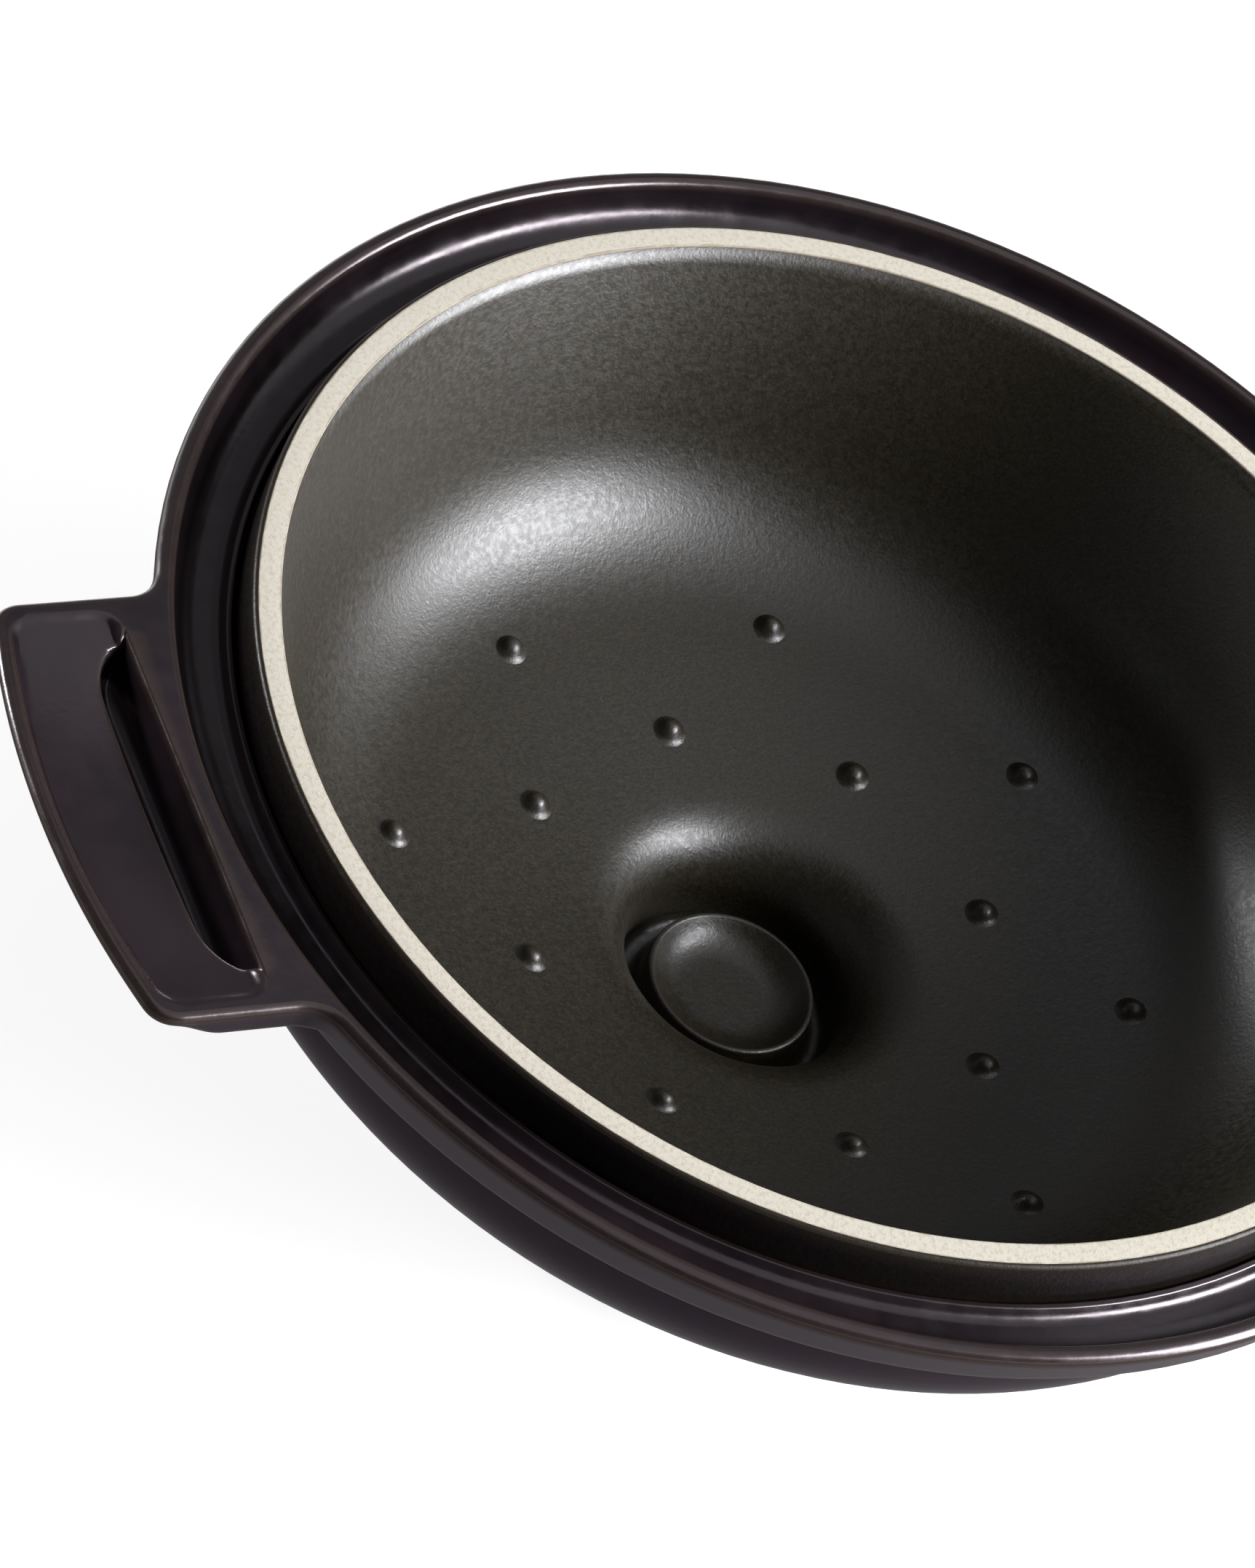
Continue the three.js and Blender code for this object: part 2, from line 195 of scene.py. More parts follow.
class LugSizes(bpy.types.PropertyGroup):
    """Sizes of a lug handle, a shallow tray with a finger groove, flush with the rim."""

    radius: length("Radius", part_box("pot")[1].x, "From the middle of the pot to the lug's end")
    half_width: length("Half Width", 0.0504, "Half of the lug's width")
    thickness: length("Thickness", 0.0074, "Thickness of the lug's sides beside the rim")
    lip: length("Lip", 0.0036, "Thickness of the lug's outer edge")
    lip_reach: length("Lip Reach", 0.015, "From the lug's end to where its sides are full thick")
    body: length("Body", 0.0094, "Thickness of the lug within its edges")
    swell: length("Swell", 0.0071, "How much thicker the lug is under its groove")
    swell_half: length("Swell Half Length", 0.047, "Half of the length of the thicker part")
    swell_flat: amount("Swell Flat", 0.6, "Share of that length before the swelling fades")
    swell_reach: length("Swell Reach", 0.02, "From the lug's end to where it is thickest")
    edge_round: length("Edge Rounding", 0.0017, "Rounding of the lug's edges")
    edge_draft: length("Edge Draft", 0.0004, "How far the lug's side draws in downwards")
    corner_round: length("Corner Rounding", 0.007, "Rounding of the lug's corners in plan")
    fillet: length("Fillet", 0.008, "Rounding in plan where the lug meets the rim")
    blend: length("Blend", 0.003, "Reach over which the rim's section becomes the lug's")
    root_fillet: length("Root Fillet", 0.0022, "Rounding under the lug against the collar")
    root_reach: length("Root Reach", 0.03, "Height over which the wall is drawn down to the lug")
    border: length("Border", 0.0028, "Width of the tray's border at the lug's end")
    side_border: length("Side Border", 0.0034, "Width of the tray's border at the lug's sides")
    tray_round: length("Tray Corner", 0.005, "Rounding of the tray's corners in plan")
    tray_wall: length("Tray Wall", 0.0022, "Reach of the slope between border and tray")
    tray_depth: length("Tray Depth", 0.0057, "Depth of the tray beside the groove")
    tray_end_depth: length("Tray End Depth", 0.0008, "Depth of the tray at the lug's sides")
    tray_rise: amount("Tray Rise", 0.45, "Share of its depth that the tray loses towards the end")
    groove_from_rim: length("Groove From Rim", 0.0014, "From the rim's circle to the groove")
    groove_width: length("Groove Width", 0.008, "Width of the finger groove")
    groove_half: length("Groove Half Length", 0.039, "Half of the groove's length")
    groove_bend: length("Groove Bend", 0.012, "Length of the groove's bowed ends")
    groove_depth: length("Groove Depth", 0.0115, "Depth of the groove")
    groove_edge: length("Groove Edge", 0.0009, "Rounding of the groove's edge beside the rim")
    groove_roll: length("Groove Roll", 0.0035, "Rounding of the groove's bowed edge")
    groove_draft: length("Groove Draft", 0.0009, "Lean of the groove's walls")
    groove_sole: length("Groove Sole", 0.003, "Rounding of the groove's bottom")
    ridge_round: length("Ridge Rounding", 0.0012, "Rounding of the ridge between tray and groove")


class Finishes(bpy.types.PropertyGroup):
    """Colours and gloss of the glazes and the bare clay."""

    pot_dark: colour("Pot Dark", (0.0075, 0.0050, 0.0065), "Deep colour of the pot's glaze")
    pot_light: colour("Pot Light", (0.0150, 0.0095, 0.0125), "Milkier patches of the pot's glaze")
    pot_thin: colour("Pot Thin", (0.0300, 0.0210, 0.0170), "Pot's glaze where it thins on edges")
    index: amount("Index", 1.75, "Refractive index of the glazes")
    pot_tint: colour("Pot Sheen", (1.0, 0.90, 0.98), "Tint of the sheen on the pot's glaze")
    lid_tint: colour("Lid Sheen", (0.95, 0.96, 1.0), "Tint of the sheen on the lid's glaze")
    # The belly colour and belly gloss paint the reflection of a dim floor on the pot's outside, as
    # a lighter purple ground and a cut gloss; the belly roughness is the glaze's own satin.
    belly: colour("Belly", (0.0135, 0.0085, 0.0130), "Satin glaze on the pot's outside")
    belly_rough: amount("Belly Roughness", 0.5, "Roughness of the pot's glaze on its outside")
    belly_gloss: amount("Belly Gloss", 0.05, "Share of its gloss that the glaze keeps there")
    pot_rough: amount("Pot Roughness", 0.22, "Middle roughness of the pot's glaze")
    lid_dark: colour("Lid Dark", (0.0092, 0.0070, 0.0030), "Deep colour of the lid's glaze")
    lid_light: colour("Lid Light", (0.0275, 0.0208, 0.0090), "Speckle in the lid's glaze")
    lid_thin: colour("Lid Thin", (0.0360, 0.0270, 0.0170), "Lid's glaze where it thins on edges")
    # The lid's outside colour and gloss below are painted shade: they darken and dull the skirt
    # under the unglazed edge.
    lid_outside_painted_shade: colour("Lid Outside", (0.0060, 0.0042, 0.0040), "Glaze on the lid's outside")
    lid_outside_painted_shade_gloss: amount("Lid Outside Gloss", 0.3, "Share of its gloss that the lid has there")
    lid_rough: amount("Lid Roughness", 0.40, "Middle roughness of the lid's glaze")
    clay: colour("Clay", (0.560, 0.530, 0.460), "Bare clay")
    clay_dark: colour("Clay Dark", (0.450, 0.410, 0.340), "Darker grain in the bare clay")
    # Colour that the bare clay darkens to in narrow strips at the band's edges, beside the glaze.
    clay_stain: colour("Clay Stain", (0.240, 0.185, 0.135), "Clay stained beside the glaze")


class StageSetup(bpy.types.PropertyGroup):
    """Camera, lights and floor."""

    camera_azimuth: angle("Camera Azimuth", 225.15, "Direction of the camera from the dish")
    camera_elevation: angle("Camera Elevation", 45.06, "Height of the camera over the horizon")
    camera_roll: angle("Camera Roll", 30.16, "Turn of the picture about the line of sight")
    camera_distance: length("Camera Distance", 1.95, "From the camera to the lid's edge")
    camera_lens: amount("Lens", 224.9, "Focal length in millimetres")
    target_x: amount("Target X", 1210.0, "Pixel column of the middle of the lid's edge")
    target_y: amount("Target Y", 999.5, "Pixel row of the middle of the lid's edge")
    key_azimuth: angle("Key Azimuth", -36, "Direction of the main softbox")
    key_elevation: angle("Key Elevation", 17, "Height of the main softbox")
    key_power: amount("Key Power", 165, "Power of the main softbox in watts")
    key_width: length("Key Width", 1.4, "Width of the main softbox")
    key_height: length("Key Height", 2.0, "Height of the main softbox")
    side_azimuth: angle("Side Azimuth", 130, "Direction of the second softbox")
    side_elevation: angle("Side Elevation", 11, "Height of the second softbox")
    side_power: amount("Side Power", 34, "Power of the second softbox in watts")
    side_width: length("Side Width", 0.45, "Width of the second softbox")
    side_height: length("Side Height", 0.45, "Height of the second softbox")
    top_azimuth: angle("Top Azimuth", -25, "Direction of the softbox overhead")
    top_elevation: angle("Top Elevation", 62, "Height of the softbox overhead")
    top_power: amount("Top Power", 13, "Power of the softbox overhead in watts")
    top_width: length("Top Width", 3.0, "Width of the softbox overhead")
    top_height: length("Top Height", 3.0, "Depth of the softbox overhead")
    fill_azimuth: angle("Fill Azimuth", 85, "Direction of the weak softbox behind the dish")
    fill_elevation: angle("Fill Elevation", 30, "Height of that softbox")
    fill_power: amount("Fill Power", 3.0, "Power of that softbox in watts")
    fill_width: length("Fill Width", 3.0, "Width of that softbox")
    fill_height: length("Fill Height", 2.4, "Height of that softbox")
    light_distance: length("Light Distance", 2.0, "From the softboxes to the dish")
    surround: colour("Surround", (0.022, 0.022, 0.024), "Even light from all round")
    floor_colour: colour("Floor", (0.40, 0.40, 0.40), "Floor of the studio")
    floor_glow: amount("Floor Glow", 0.82, "Light from under the floor, which softens shadows")
    floor_size: length("Floor Size", 60, "Side of the floor")


def smooth_step(low, high, value):
    """0 below low, 1 above high, and an even rise between."""
    share = np.clip((value - low) / (high - low), 0, 1)
    return share * share * (3 - 2 * share)


def rounded(corners):
    """Points along corners (x, y, rounding), with arcs at rounded ones and long runs divided."""
    spots = [Vector(corner[:2]) for corner in corners]
    reaches = arc_reaches(corners, spots)
    path = [spots[0]]
    for i in range(1, len(corners) - 1):
        here = spots[i]
        if not reaches[i]:
            path.append(here)
            continue
        back = (spots[i - 1] - here).normalized()
        ahead = (spots[i + 1] - here).normalized()
        half = back.angle(ahead) / 2
        middle = here + (back + ahead).normalized() * (reaches[i] / math.cos(half))
        first = here + back * reaches[i] - middle
        turn = math.copysign(math.pi - 2 * half, ahead.x * back.y - ahead.y * back.x)
        steps = max(2, math.ceil(abs(turn) / ARC_STEP))
        for k in range(steps + 1):
            path.append(middle + Matrix.Rotation(turn * k / steps, 2) @ first)
    path.append(spots[-1])
    points = []
    for start, end in zip(path, path[1:]):
        pieces = max(1, math.ceil((end - start).length / ROW_STEP))
        points += [start.lerp(end, k / pieces) for k in range(pieces)]
    points.append(path[-1])
    return np.array(points)


def arc_reaches(corners, spots):
    """How far each corner's arc reaches along its two runs, where arcs share a run's room."""
    wanted = [0.0] * len(corners)
    for i in range(1, len(corners) - 1):
        if len(corners[i]) > 2 and corners[i][2]:
            turn = (spots[i - 1] - spots[i]).angle(spots[i + 1] - spots[i])
            wanted[i] = corners[i][2] / math.tan(turn / 2)
    reaches = list(wanted)
    for i in range(len(corners) - 1):
        room = (spots[i + 1] - spots[i]).length / max(wanted[i] + wanted[i + 1], TINY)
        for k in (i, i + 1):
            reaches[k] = min(reaches[k], wanted[k] * room)
    return reaches


def turned(profile, ring):
    """Grid of a profile (radius, height) turned to the directions of ring."""
    grid = np.empty((len(profile), len(ring), 3))
    grid[:, :, :2] = profile[:, None, :1] * ring[None, :, :]
    grid[:, :, 2] = profile[:, 1:]
    return grid


def even_ring(columns):
    """Directions all round, evenly spread."""
    turn = np.linspace(0, 2 * math.pi, columns, endpoint=False)
    return np.stack([np.cos(turn), np.sin(turn)], axis=1)


def grid_faces(index):
    """Quads of a grid of vertex numbers that is closed around its columns."""
    ahead = np.roll(index, -1, axis=1)
    return np.stack([index[:-1], ahead[:-1], ahead[1:], index[1:]], axis=-1)


def piece(name, points, faces, marks=None):
    """A smooth object of points, faces and named marks, also marked where its glaze is thin."""
    mesh = bpy.data.meshes.new(name)
    mesh.from_pydata(points.tolist(), [], faces.tolist())
    for mark, values in (marks or {}).items():
        mesh.attributes.new(mark, "FLOAT", "POINT").data.foreach_set("value", values)
    work = bmesh.new()
    work.from_mesh(mesh)
    bmesh.ops.remove_doubles(work, verts=work.verts, dist=TINY)
    bmesh.ops.recalc_face_normals(work, faces=work.faces)
    work.to_mesh(mesh)
    work.free()
    mesh.shade_smooth()
    mark_thin_glaze(mesh)
    thing = bpy.data.objects.new(name, mesh)
    bpy.context.scene.collection.objects.link(thing)
    return thing


def mark_thin_glaze(mesh):
    """Stores how strongly each point bends outwards, from 0 on flats to 1 on tight edges."""
    shortest, gentle, tight = 0.0002, 120.0, 800.0
    spots = np.empty(3 * len(mesh.vertices))
    mesh.vertices.foreach_get("co", spots)
    normals = np.empty(3 * len(mesh.vertices))
    mesh.vertex_normals.foreach_get("vector", normals)
    ends = np.empty(2 * len(mesh.edges), dtype=np.int64)
    mesh.edges.foreach_get("vertices", ends)
    spots, normals, ends = spots.reshape(-1, 3), normals.reshape(-1, 3), ends.reshape(-1, 2)
    span = spots[ends[:, 1]] - spots[ends[:, 0]]
    swing = normals[ends[:, 1]] - normals[ends[:, 0]]
    squared = np.maximum((span * span).sum(axis=1), shortest**2)
    bend = (span * swing).sum(axis=1) / squared
    most = np.zeros(len(spots))
    np.maximum.at(most, ends[:, 0], bend)
    np.maximum.at(most, ends[:, 1], bend)
    layer = mesh.attributes.new("thin_glaze", "FLOAT", "POINT")
    layer.data.foreach_set("value", smooth_step(gentle, tight, most).astype(np.float32))


def turned_piece(name, corners):
    """An object turned from a profile that starts and ends on the axis, or closes on itself.

    What comes before the profile's highest point is marked as its outside.
    """
    profile = rounded(corners)
    grid = turned(profile, even_ring(LID_COLUMNS))
    index = np.arange(grid.shape[0] * LID_COLUMNS).reshape(grid.shape[:2])
    outside = np.arange(len(profile)) < np.argmax(profile[:, 1])
    marks = {"outside": np.repeat(outside, LID_COLUMNS).astype(np.float32)}
    return piece(name, grid.reshape(-1, 3), grid_faces(index).reshape(-1, 4), marks)


class LidLines:
    """Heights and lines that the lid's profile follows."""

    def __init__(self, lid):
        self.lid = lid
        self.moat = lid.knob_end + lid.wall
        self.tip = self.moat + lid.hollow_depth
        self.edge = self.tip + lid.depth
        self.button = self.moat + lid.button_height
        self.cup = self.button - lid.cup_depth
        self.dish = self.cup - lid.wall
        self.flange = self.edge - lid.skirt_height
        self.edge_inner = lid.edge_radius - lid.edge_width
        self.outer_tip = self.tip - lid.wall / math.cos(lid.slope)
        self.outer_shift = lid.wall / math.cos(lid.draft)

    def cone(self, tip, radius):
        """Height of the cone that ends at tip."""
        return tip + radius * math.tan(self.lid.slope)

    def wall(self, shift, height):
        """Radius of the wall line moved outwards by shift."""
        return self.edge_inner + shift - (self.edge - height) * math.tan(self.lid.draft)

    def corner(self, shift, tip):
        """Where the wall line meets the cone line."""
        share = 1 - math.tan(self.lid.slope) * math.tan(self.lid.draft)
        radius = self.wall(shift, tip) / share
        return radius, self.cone(tip, radius)


class CASSEROLE_OT_lid(bpy.types.Operator):
    """Build the glazed lid, upside down, with its skirt, bowl and hollow knob"""

    bl_idname = "casserole.lid"
    bl_label = "Lid"

    def execute(self, context):
        lid = context.scene.casserole_lid
        lines = LidLines(lid)
        neck = lid.hollow_radius + lid.wall
        dish = lid.button_radius - lid.wall
        under_edge = lines.edge - lid.edge_inset
        made = turned_piece(
            "Lid_Glazed_Body",
            [
                (0, lines.dish),
                (dish, lines.dish, lid.moat_round),
                (dish + lid.hollow_draft, lid.knob_end, lid.moat_round),
                (neck + lid.knob_flare, lid.knob_end, lid.knob_round),
                (neck, lines.cone(lines.outer_tip, neck), lid.neck_round),
                (*lines.corner(lines.outer_shift, lines.outer_tip), lid.bowl_round + lid.wall),
                (lines.wall(lines.outer_shift, lines.flange), lines.flange, lid.flange_round),
                (lid.edge_radius + lid.skirt_flare, lines.flange, lid.flange_round),
                (lid.edge_radius + lid.edge_round, lines.edge, lid.edge_round),
                (lid.edge_radius, lines.edge),
                (lid.edge_radius, under_edge),
                (lines.edge_inner, under_edge),
                (*lines.corner(0, lines.tip), lid.bowl_round),
                (lid.hollow_radius, lines.cone(lines.tip, lid.hollow_radius), lid.hollow_round),
                (lid.hollow_radius - lid.hollow_draft, lines.moat, lid.moat_round),
                (lid.button_radius + lid.hollow_draft, lines.moat, lid.moat_round),
                (lid.button_radius, lines.button, lid.button_round),
                (lid.button_radius - lid.button_rim, lines.button, lid.button_round),
                (lid.cup_radius, lines.cup, lid.cup_round),
                (0, lines.cup),
            ],
        )
        made.data.materials.append(lid_glaze(context.scene.casserole_finishes))
        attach(made, "lid")
        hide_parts("lid")
        return {"FINISHED"}


class CASSEROLE_OT_nubs(bpy.types.Operator):
    """Build the basting nubs that stand in two rings inside the lid"""

    bl_idname = "casserole.nubs"
    bl_label = "Basting Nubs"

    def execute(self, context):
        nubs = context.scene.casserole_nubs
        lines = LidLines(context.scene.casserole_lid)
        ring = even_ring(NUB_COLUMNS)
        radii = np.linspace(0, (nubs.cap + nubs.fillet) * math.sin(nubs.flank), NUB_ROWS)
        points, faces = [], []
        for radius, stagger in ((nubs.inner_ring, 0), (nubs.outer_ring, 0.5)):
            for i in range(nubs.per_ring):
                turn = (i + stagger) * 2 * math.pi / nubs.per_ring
                middle = radius * np.array([math.cos(turn), math.sin(turn)])
                grid = self.nub(nubs, lines, middle, radii, ring)
                first = sum(map(len, points))
                index = np.arange(grid.shape[0] * NUB_COLUMNS).reshape(grid.shape[:2]) + first
                points.append(grid.reshape(-1, 3))
                faces.append(grid_faces(index).reshape(-1, 4))
        made = piece("Lid_Basting_Nubs", np.concatenate(points), np.concatenate(faces))
        made.data.materials.append(lid_glaze(context.scene.casserole_finishes))
        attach(made, "lid")
        return {"FINISHED"}

    @staticmethod
    def nub(nubs, lines, middle, radii, ring):
        """Grid of one nub: a cap that runs out just under the lid's surface, and a flat below."""
        grid = np.empty((len(radii) + 1, len(ring), 3))
        height = (nubs.cap + nubs.fillet) * (1 - math.cos(nubs.flank))
        on_cap = np.minimum(radii, nubs.cap * math.sin(nubs.flank))
        on_fillet = np.minimum(radii[-1] - radii, nubs.fillet * math.sin(nubs.flank))
        cap = height - nubs.cap + np.sqrt(nubs.cap**2 - on_cap**2)
        fillet = nubs.fillet - np.sqrt(nubs.fillet**2 - on_fillet**2)
        lift = np.where(radii < nubs.cap * math.sin(nubs.flank), cap, fillet) - NUB_SINK
        grid[:-1, :, :2] = middle + radii[:, None, None] * ring[None, :, :]
        grid[-1, :, :2] = middle
        away = np.hypot(grid[:, :, 0], grid[:, :, 1])
        grid[:, :, 2] = lines.cone(lines.tip, away)
        grid[:-1, :, 2] += lift[:, None]
        grid[-1, :, 2] -= 2 * NUB_SINK
        return grid


class CASSEROLE_OT_bare_clay(bpy.types.Operator):
    """Build the bands of bare clay on the lid's edge and under the pot's foot"""

    bl_idname = "casserole.bare_clay"
    bl_label = "Bare Clay"

    def execute(self, context):
        finishes = context.scene.casserole_finishes
        lid = context.scene.casserole_lid
        pot = context.scene.casserole_pot
        lines = LidLines(lid)
        soft = lid.edge_inset / 2
        edge = self.band(
            "Lid_Bare_Edge",
            (lines.edge_inner, lid.edge_radius),
            (lines.edge - lid.edge_inset, lines.edge),
            soft,
        )
        inner, outer = foot_band(pot)
        foot = self.band("Pot_Bare_Foot", (inner, outer), (pot.bare_inset, 0), 0)
        for made, body, span in (
            (edge, "lid", (lines.edge_inner, lid.edge_radius)),
            (foot, "pot", (inner, outer)),
        ):
            made.data.materials.append(bare_clay(made.name, finishes, span))
            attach(made, body)
        return {"FINISHED"}

    @staticmethod
    def band(name, radii, heights, soft):
        """A flat ring between two radii, its shown face at the second height."""
        inner, outer = radii
        back, face = heights
        return turned_piece(
            name,
            [
                (inner, back),
                (inner, face, soft),
                (outer, face, soft / 4),
                (outer, back),
                (inner, back),
            ],
        )


def foot_band(pot):
    """Inner and outer radius of the unglazed band under the foot."""
    inner = foot_radius(pot) - pot.foot_round - pot.foot_ring
    return inner, inner + pot.foot_ring


def flank_slope(pot):
    """Lean of the flank from the upright."""
    return math.atan2(pot.mouth_radius - pot.floor_radius, pot.turn_height - pot.floor)


def foot_radius(pot):
    """Radius where the flank's outside would reach the ground."""
    slope = flank_slope(pot)
    inside = pot.floor_radius - pot.floor * math.tan(slope)
    return inside + pot.flank_wall / math.cos(slope)


def rounded_inside(distances, rounding):
    """Distance inside several edges, with their corners rounded, up to the rounding itself."""
    short = [np.maximum(rounding - distance, 0) for distance in distances]
    return rounding - np.sqrt(sum(value * value for value in short))


class LugPlan:
    """One lug in its own frame, x outwards: columns along its outline, its top and underside."""

    def __init__(self, pot, lug, root_radius):
        self.lug = lug
        self.rim_radius = pot.rim_radius
        self.root_radius = root_radius
        self.near = pot.rim_radius + lug.groove_from_rim
        self.far = self.near + lug.groove_width
        self.straight = lug.groove_half - lug.groove_bend
        self.place_columns()

    def outline(self):
        """Dense points and outward normals along one half, from the lug's end to the rim."""
        lug = self.lug
        fillet_y = lug.half_width + lug.fillet
        fillet_x = math.sqrt((self.rim_radius + lug.fillet) ** 2 - fillet_y**2)
        corner_y = lug.half_width - lug.corner_round
        corner_x = math.sqrt((lug.radius - lug.corner_round) ** 2 - corner_y**2)
        corner_turn = math.atan2(corner_y, corner_x)
        fillet_turn = math.atan2(fillet_y, fillet_x)

        def arc(middle, radius, start, end, side):
            turn = np.linspace(start, end, OUTLINE_POINTS)
            out = np.stack([np.cos(turn), np.sin(turn)], axis=1)
            return np.array(middle) + radius * out, side * out

        end_arc = arc((0, 0), lug.radius, 0, corner_turn, 1)
        corner = arc((corner_x, corner_y), lug.corner_round, corner_turn, math.pi / 2, 1)
        side_x = np.linspace(corner_x, fillet_x, OUTLINE_POINTS)
        side = (
            np.stack([side_x, np.full(OUTLINE_POINTS, lug.half_width)], axis=1),
            np.tile([0.0, 1.0], (OUTLINE_POINTS, 1)),
        )
        fillet = arc((fillet_x, fillet_y), lug.fillet, -math.pi / 2, fillet_turn - math.pi, -1)
        parts = (end_arc, corner, side, fillet)
        return [np.concatenate([part[i] for part in parts]) for i in range(2)]

    def place_columns(self):
        """Picks columns that crowd at the groove's ends, and mirrors them to the other half."""
        lug = self.lug
        spots, normals = self.outline()
        steps = np.linalg.norm(np.diff(spots, axis=0), axis=1)
        run = np.concatenate([[0], np.cumsum(steps)])
        root = self.root_radius * spots / np.linalg.norm(spots, axis=1, keepdims=True)
        past = spots[:, 0] > self.far + lug.groove_roll
        cross = self.along_groove(root[past], spots[past])
        crowd_start = lug.groove_half - lug.groove_bend / 4
        crowd_end = lug.groove_half + lug.groove_roll / 2
        end = lug.groove_half + lug.groove_roll
        stops = (0, self.straight, crowd_start, crowd_end, end)
        stations = [0.0]
        for start, stop, steps in zip(stops, stops[1:], GROOVE_STEPS):
            stations += list(np.linspace(start, stop, steps + 1)[1:])
        picked = np.interp(stations, cross, run[past])
        rest = np.arange(picked[-1] + COLUMN_STEP, run[-1] - COLUMN_GAP, COLUMN_STEP)
        picked = np.concatenate([picked, rest, [run[-1]]])
        half = [
            np.stack([np.interp(picked, run, values[:, i]) for i in range(2)], axis=1)
            for values in (spots, normals)
        ]
        flip = np.array([1.0, -1.0])
        self.spots, self.normals = [
            np.concatenate([values[:0:-1] * flip, values]) for values in half
        ]
        self.normals /= np.linalg.norm(self.normals, axis=1, keepdims=True)
        middle_column = len(picked) - 1
        last = len(stations) - 1
        self.groove_columns = (middle_column - last, middle_column + last)

    def along_groove(self, root, edge):
        """Where lines from root to edge cross the middle of the groove, measured along it."""
        middle = (self.near + self.far) / 2
        share = (middle - root[:, 0]) / (edge[:, 0] - root[:, 0])
        return root[:, 1] + share * (edge[:, 1] - root[:, 1])

    def row_shares(self, root, edge):
        """Shares along root to edge for the rows over a lug, which crowd at its walls."""
        lug = self.lug
        clamped = np.clip(np.arange(len(root)), *self.groove_columns)
        root, edge = root[clamped], edge[clamped]
        along = np.abs(self.along_groove(root, edge))
        bend = np.clip((along - self.straight) / lug.groove_bend, 0, 1)
        width = np.maximum(lug.groove_width * np.sqrt(1 - bend * bend), lug.groove_edge)
        end = lug.groove_half + lug.groove_roll
        width = width + lug.groove_width / 4 * smooth_step(lug.groove_half, end, along)
        squeeze = np.minimum(1, width / (WALL_ROOM * WALL_ROWS[-1]))
        lip = lug.groove_edge * LIP_ROWS
        roll = lug.groove_roll * ROLL_ROWS
        stations = np.concatenate(
            [
                self.near - lip[:, None] + 0 * width,
                self.near + WALL_ROWS[:, None] * squeeze,
                self.near + width[None] / 2,
                self.near + width - WALL_ROWS[::-1, None] * squeeze,
                self.near + width + roll[:, None],
            ]
        )
        fixed = (stations - root[:, 0]) / (edge[:, 0] - root[:, 0])
        before = np.array([0, 0.5])[:, None] * fixed[:1]
        tray = np.linspace(0, BORDER_START, TRAY_ROWS + 1)[1:]
        border = np.linspace(BORDER_START, 1, BORDER_ROWS + 1)[1:]
        spread = np.concatenate([tray, border])
        after = fixed[-1:] + spread[:, None] * (1 - fixed[-1:])
        return np.concatenate([before, fixed, after])

    def tray(self, plan):
        """Depth of the tray in the lug's top, deepest beside the middle of the groove."""
        lug = self.lug
        along = np.abs(plan[..., 1])
        half = lug.half_width - lug.side_border
        end = lug.radius - lug.border
        distances = (half - along, end - np.linalg.norm(plan, axis=-1), plan[..., 0] - self.near)
        inside = rounded_inside(distances, lug.tray_round)
        bow = (lug.tray_depth - lug.tray_end_depth) * np.minimum(along / half, 1) ** 2
        out = np.clip((plan[..., 0] - self.far) / (end - self.far), 0, 1)
        floor = (lug.tray_depth - bow) * (1 - lug.tray_rise * out)
        return floor * smooth_step(0, lug.tray_wall, inside)

    def groove(self, plan):
        """Depth of the finger groove, straight beside the rim and bowed at its ends."""
        lug = self.lug
        out = plan[..., 0] - self.near
        across = np.maximum(out, 0) / lug.groove_width
        ahead = np.maximum(np.abs(plan[..., 1]) - self.straight, 0) / lug.groove_bend
        share = np.hypot(across, ahead)
        slope = np.hypot(across / lug.groove_width, ahead / lug.groove_bend)
        slope = np.maximum(slope / np.maximum(share, TINY), 1 / lug.groove_bend)
        from_bow = (1 - share) / slope
        return np.minimum(
            self.groove_wall(out, lug.groove_edge), self.groove_wall(from_bow, lug.groove_roll)
        )

    def groove_wall(self, inside, lip):
        """Depth at a distance inside the groove's outline: rounded lip, wall and round sole."""
        lug = self.lug
        onto = np.clip(1 + inside / lip, 0, 1)
        edge = lip * (1 - np.sqrt(1 - onto * onto))
        fall = lug.groove_depth - lug.groove_sole - lip
        wall = fall * np.clip(inside / lug.groove_draft, 0, 1)
        turn = 1 - np.clip((inside - lug.groove_draft) / lug.groove_sole, 0, 1)
        return edge + wall + lug.groove_sole * np.sqrt(1 - turn * turn)

    def drop(self, plan):
        """How far the lug's top lies below the rim, its ridge between tray and groove rounded."""
        tray, groove = self.tray(plan), self.groove(plan)
        soft = self.lug.ridge_round * smooth_step(0, self.lug.ridge_round, tray)
        return (tray + groove + np.sqrt((tray - groove) ** 2 + soft**2) - soft) / 2

    def thickness(self, plan):
        """How far the lug's underside lies below the rim."""
        lug = self.lug
        along = np.abs(plan[..., 1])
        from_end = lug.radius - np.linalg.norm(plan, axis=-1)
        thicker = smooth_step(lug.lip, lug.lip_reach, from_end)
        side = lug.lip + (lug.thickness - lug.lip) * thicker
        inside = rounded_inside((from_end, lug.half_width - along), lug.corner_round)
        within = smooth_step(lug.edge_round, lug.corner_round, inside)
        body = np.maximum(lug.body - side, 0) * within
        middle = 1 - smooth_step(lug.swell_flat * lug.swell_half, lug.swell_half, along)
        return side + body + lug.swell * middle * smooth_step(lug.lip, lug.swell_reach, from_end)


